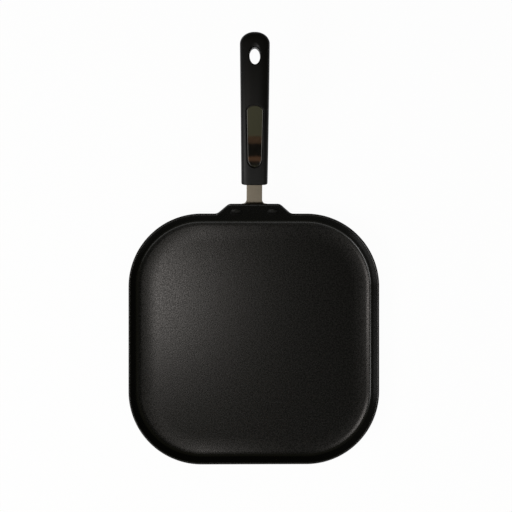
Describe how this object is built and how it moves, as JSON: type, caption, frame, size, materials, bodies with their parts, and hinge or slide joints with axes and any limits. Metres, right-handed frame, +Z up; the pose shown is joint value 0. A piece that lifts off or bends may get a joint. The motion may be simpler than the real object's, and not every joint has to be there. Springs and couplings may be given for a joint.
{
  "type": "square griddle pan",
  "caption": "Shallow square pan with broad rounded corners, a dark non-stick cooking face and one riveted, soft-touch handle with a hanging hole.",
  "frame": {"origin": "middle of the flat base, on the surface that the pan stands on", "axes": "+Y out along the handle, +Z up out of the pan, +X to the right"},
  "size_m": [0.28, 0.4751, 0.0681],
  "materials": {
    "nonstick_aluminium": "hard-anodised aluminium with a stippled black non-stick coat",
    "coated_rivet": "aluminium rivet under the same non-stick coat",
    "strap_steel": "satin stainless steel",
    "core_phenolic": "moulded phenolic",
    "sleeve_silicone": "matt soft-touch silicone",
    "bonding_foam": "double-sided acrylic foam",
    "inlay_steel": "polished stainless steel"
  },
  "bodies": {
    "root": {"pan_body": "nonstick_aluminium", "rivet_left": "coated_rivet", "rivet_right": "coated_rivet", "handle_strap": "strap_steel", "grip_core": "core_phenolic", "grip_sleeve": "sleeve_silicone", "inlay_pad": "bonding_foam", "inlay_plate": "inlay_steel"}
  },
  "joints": []
}
